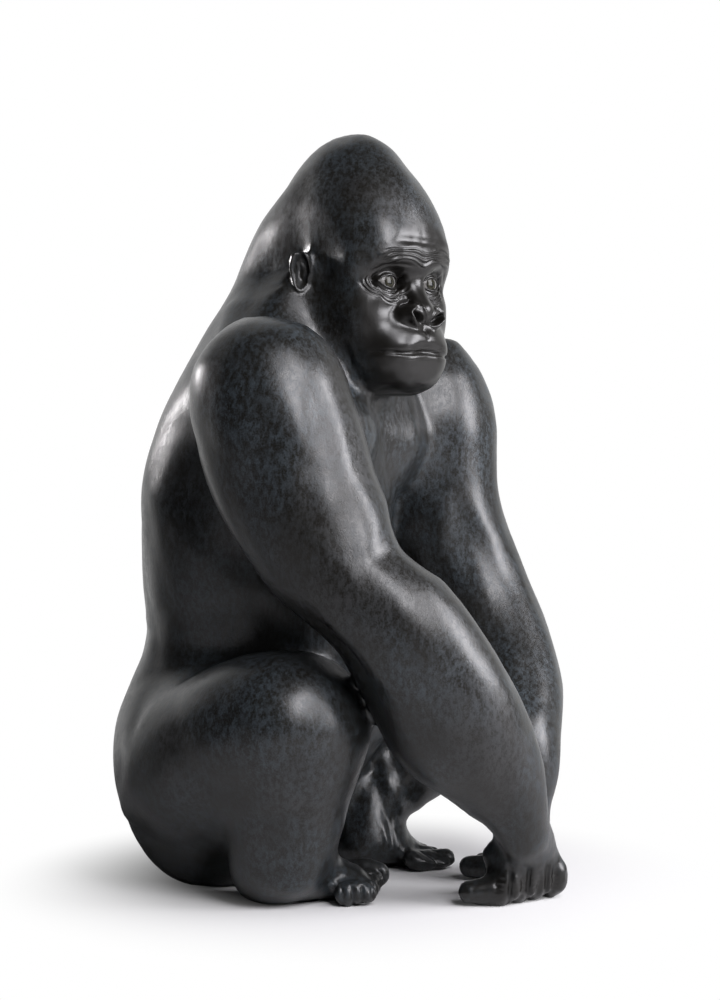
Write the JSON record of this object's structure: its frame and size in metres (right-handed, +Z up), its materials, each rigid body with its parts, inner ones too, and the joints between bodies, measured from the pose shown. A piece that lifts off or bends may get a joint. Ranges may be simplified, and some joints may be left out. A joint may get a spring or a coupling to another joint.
{
  "type": "gorilla figurine",
  "caption": "Seated gorilla figurine in dark porcelain, leaning on its knuckles with the head turned to its right.",
  "frame": {"origin": "middle of the figure's footprint, on the surface it stands on", "axes": "+Z up, the chest faces -Y, the figure's own left side is +X"},
  "size_m": [0.2488, 0.2248, 0.3755],
  "materials": {
    "porcelain": "satin, fired, with a faint brushed mottle and glossier face, fingers and toes"
  },
  "bodies": {
    "root": {"gorilla": "porcelain"}
  },
  "joints": []
}
